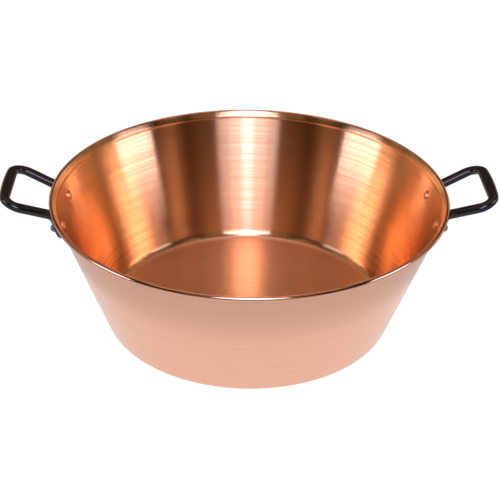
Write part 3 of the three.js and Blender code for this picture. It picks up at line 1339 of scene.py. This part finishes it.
@dataclass(frozen=True)
class Studio:
    """White floor and backdrop, with soft lit cards and dark ones for the copper to mirror."""

    floor_size: float = 12.0
    floor_gap: float = 0.0002
    floor_glow: float = 1.08
    ambient: float = 0.6
    paper: Colour = (0.85, 0.85, 0.85)
    white: Colour = (1.0, 1.0, 1.0)
    shadow_share: float = 0.12
    shadow_edge: Span = (0.5, 1.5)
    table_glow: Span = (0.9, 0.64)
    table_edge: Span = (0.187, 0.207)
    room_fall: float = 0.3
    room_edge: Span = (0.24, 0.34)
    front_tint: Colour = (0.97, 0.92, 1.34)
    core_tint: Colour = (0.88, 0.9, 1.6)
    side_tint: Colour = (0.97, 0.87, 1.2)
    room_tint: Colour = (1.0, 0.66, 0.46)
    front: Span = (-20.5, 20.5)
    front_top: Span = (-15.0, 15.0)
    front_middle: Span = (-12.0, 12.0)
    front_core: Span = (-4.0, 4.0)

    def cards(self) -> list[Card]:
        """Lists the cards.

        Returns:
            The dark dome, the front lamp, the pair of side lamps and the dim walls behind the pan.
        """
        tint, side_tint, room = self.front_tint, self.side_tint, self.room_tint
        return [
            Card("dark_dome", (-180.0, 180.0), (-4.0, 90.0), 0.0, 0),
            Card("ceiling", (-180.0, 180.0), (58.0, 90.0), 0.12, 1, False, room),
            Card("rear_ceiling", (110.0, 250.0), (64.0, 90.0), 0.7, 2, False, room),
            Card("corner_top", (57.0, 72.0), (50.0, 64.0), 0.5, 2, True, room),
            Card("front_lamp", self.front, (35.0, 50.0), 5.0, 2, False, tint),
            Card("front_lamp_middle", self.front_middle, (35.0, 50.0), 6.1, 3, False, tint),
            Card("front_lamp_top", self.front_top, (50.0, 84.0), 3.1, 2, False, tint),
            Card("front_skirt", self.front, (16.0, 35.0), 1.05, 2, False, tint),
            Card("front_skirt_middle", self.front_middle, (16.0, 35.0), 1.7, 3, False, tint),
            Card("front_skirt_core", self.front_core, (18.0, 35.0), 4.3, 4, False, self.core_tint),
            Card("front_wing", (20.5, 40.0), (35.0, 50.0), 0.38, 2, True, room),
            Card("side_lamp", (63.5, 90.0), (8.0, 20.0), 4.3, 2, True, side_tint),
            Card("side_lamp_top", (69.5, 90.0), (20.0, 35.0), 2.3, 2, True, side_tint),
            Card("side_wall", (90.0, 110.0), (8.0, 20.0), 0.65, 2, True, room),
            Card("side_wall_top", (90.0, 110.0), (20.0, 35.0), 0.15, 2, True, room),
            Card("rear_side_wall", (110.0, 155.0), (8.0, 20.0), 1.0, 3, True, room),
            Card("rear_side_top", (110.0, 155.0), (35.0, 58.0), 0.35, 2, True, room),
            Card("rear_wall", (110.0, 250.0), (-4.0, 20.0), 0.4, 2, False, room),
            Card("rear_band", (155.0, 205.0), (20.0, 35.0), 0.12, 2, False, room),
            Card("rear_top", (155.0, 205.0), (35.0, 50.0), 0.35, 2, False, room),
            Card("rear_lamp", (155.0, 205.0), (50.0, 64.0), 1.0, 2, False, room),
        ]

    def build(self) -> None:
        """Builds the whole studio."""
        bpy.context.scene.view_settings.view_transform = "Standard"
        self.build_world()
        self.build_floor()
        for card in self.cards():
            card.build(self.ambient)

    @staticmethod
    def seen(nodes: Nodes) -> Socket:
        """Adds a test for rays that show the background.

        Args:
            nodes: The nodes to add it to.

        Returns:
            An output that is 1 for camera, glossy and transmission rays, and else 0.
        """
        path = nodes.add("ShaderNodeLightPath").outputs
        mirrored = nodes.math("MAXIMUM", path["Is Glossy Ray"], path["Is Transmission Ray"])
        return nodes.math("MAXIMUM", path["Is Camera Ray"], mirrored)

    def build_world(self) -> None:
        """Makes the world, white where it is seen and softer as a light."""
        world = bpy.data.worlds.new("white_surround")
        nodes = Nodes.of(world)
        strength = nodes.remap(self.seen(nodes), (0.0, 1.0), (self.ambient, 1.0))
        sky = nodes.add("ShaderNodeBackground", {"Color": self.white, "Strength": strength})
        nodes.add("ShaderNodeOutputWorld", {"Surface": sky.outputs[0]})
        bpy.context.scene.world = world

    def build_floor(self) -> None:
        """Makes the white floor, which keeps a faint shadow."""
        half, level = self.floor_size / 2, -self.floor_gap
        signs = ((-1, -1), (1, -1), (1, 1), (-1, 1))
        corners = np.array([[x * half, y * half, level] for x, y in signs])
        floor = MeshTools.make("floor", corners, [(0, 1, 2, 3)], math.pi)
        material = bpy.data.materials.new("white_floor")
        nodes = Nodes.of(material)
        distance = nodes.vector("LENGTH", nodes.place()).outputs["Value"]
        glossy = nodes.add("ShaderNodeLightPath").outputs["Is Glossy Ray"]
        table = nodes.remap(distance, self.table_edge, self.table_glow)
        fall = nodes.remap(distance, self.room_edge, (0.0, self.room_fall))
        mirrored = nodes.math("MULTIPLY", glossy, nodes.math("SUBTRACT", table, fall))
        plain = nodes.math("MULTIPLY", nodes.math("SUBTRACT", 1.0, glossy), self.floor_glow)
        strength = nodes.math("ADD", plain, mirrored)
        paper = nodes.add("ShaderNodeBsdfDiffuse", {"Color": self.paper})
        glow = nodes.add("ShaderNodeEmission", {"Color": self.white, "Strength": strength})
        share = nodes.remap(distance, self.shadow_edge, (1.0 - self.shadow_share, 1.0))
        factor = nodes.math("MULTIPLY", self.seen(nodes), share)
        shaders = {0: factor, 1: paper.outputs[0], 2: glow.outputs[0]}
        surface = nodes.add("ShaderNodeMixShader", shaders)
        nodes.add("ShaderNodeOutputMaterial", {"Surface": surface.outputs[0]})
        floor.data.materials.append(material)


# Assembly


@dataclass
class JamPan:
    """The whole pan."""

    kit: GroupKit = field(default_factory=GroupKit)
    rivets: RivetPlan = field(default_factory=RivetPlan)
    inside: SpunCopper = SpunCopper(
        "copper_inside", (0.975, 0.625, 0.335), (0.88, 0.485, 0.23), (0.21, 0.235), anisotropy=1.0
    )
    outside: SpunCopper = SpunCopper(
        "copper_outside", (0.95, 0.53, 0.375), (0.93, 0.505, 0.35), (0.2, 0.23), anisotropy=0.6
    )
    bead: SpunCopper = SpunCopper(
        "copper_bead",
        (0.96, 0.54, 0.37),
        (0.93, 0.49, 0.325),
        (0.07, 0.12),
        anisotropy=0.3,
        line_depth=1e-6,
    )
    floor: SpunCopper = SpunCopper(
        "copper_floor", (0.98, 0.575, 0.36), (0.94, 0.52, 0.31), (0.36, 0.43), anisotropy=0.6
    )
    head: HeadMetal = HeadMetal(
        "copper_rivet_head", (0.88, 0.5, 0.28), (0.8, 0.4, 0.2), (0.26, 0.34)
    )
    tail: HeadMetal = HeadMetal(
        "grey_rivet_head", (0.34, 0.31, 0.29), (0.22, 0.2, 0.19), (0.35, 0.5)
    )
    iron: BlackIron = BlackIron("gloss_black_iron")
    wire: DrawnWire = DrawnWire("drawn_steel")

    def build(self) -> None:
        """Builds every piece in order and reports it."""
        low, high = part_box("pan_body")
        wall = Wall(rim_radius=(high.x - low.x) / 2, height=high.z - low.z)
        finishes = (self.inside, self.outside, self.bead, self.floor)
        coppers = [finish.build(self.kit) for finish in finishes]
        LOG.info("built %s", PanBody(wall, self.rivets, *coppers).build().name)
        LOG.info("built %s", RimWire(wall, self.wire.build(self.kit)).build().name)
        iron = self.iron.build(self.kit)
        head, tail = self.head.build(self.kit), self.tail.build(self.kit)
        for side in Side:
            LOG.info("built %s", LoopHandle(wall, self.rivets, side, iron).build().name)
            for edge in Edge:
                LOG.info("built %s", Rivet(wall, self.rivets, side, edge, head, tail).build().name)


def main() -> None:
    """Builds the pan, the camera and the studio."""
    logging.basicConfig(level=logging.INFO, format="%(name)s: %(message)s")
    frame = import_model()
    LOG.info("frame has %d nodes", len(frame["nodes"]))
    JamPan().build()
    PhotoCamera().build()
    Studio().build()


if __name__ == "__main__":
    main()
